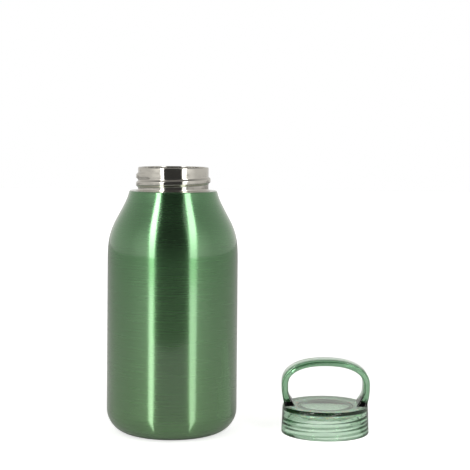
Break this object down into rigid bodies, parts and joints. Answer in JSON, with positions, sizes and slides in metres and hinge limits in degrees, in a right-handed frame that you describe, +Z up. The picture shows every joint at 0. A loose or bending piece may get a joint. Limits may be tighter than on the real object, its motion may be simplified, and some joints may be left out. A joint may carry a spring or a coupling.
{
  "type": "vacuum flask",
  "caption": "Double-walled steel vacuum flask with a wide shoulder and bare threaded neck, and its clear screw lid with a loop handle standing beside it.",
  "frame": {"origin": "centre of the flask's base, on the surface that it stands on", "axes": "+Z up along the flask's axis, +X from the flask towards its lid, +Y away from the front"},
  "size_m": [0.1576, 0.078, 0.1585],
  "materials": {
    "green_lacquer": "clear green lacquer over brushed steel, satin gloss",
    "cover_steel": "stamped, satin",
    "solder_glass": "dark, fused",
    "polished_steel": "electropolished",
    "drawn_steel": "drawn, satin",
    "copper_foil": "bright foil",
    "getter_metal": "pressed powder, matt",
    "clear_green_plastic": "clear, moulded gloss",
    "silicone": "translucent, satin"
  },
  "bodies": {
    "flask": {"outer_shell": "green_lacquer", "outer_base": "green_lacquer", "base_cover": "cover_steel", "vacuum_seal": "solder_glass", "threaded_neck": "polished_steel", "inner_liner": "drawn_steel", "liner_base": "drawn_steel", "reflective_foil": "copper_foil", "getter_holder": "drawn_steel", "getter_pellet": "getter_metal"},
    "lid_seal": {"lid_gasket": "silicone"},
    "lid": {"lid_cap": "clear_green_plastic"}
  },
  "joints": [
    {"name": "lid_lift", "type": "slide", "parent": "flask", "child": "lid_seal", "axis": [0, 0, 1], "range_m": [0, 0.18]},
    {"name": "lid_turn", "type": "hinge", "parent": "lid_seal", "child": "lid", "pos_m": [0.0923, -0.0008, 0], "axis": [0, 0, 1], "continuous": true}
  ]
}
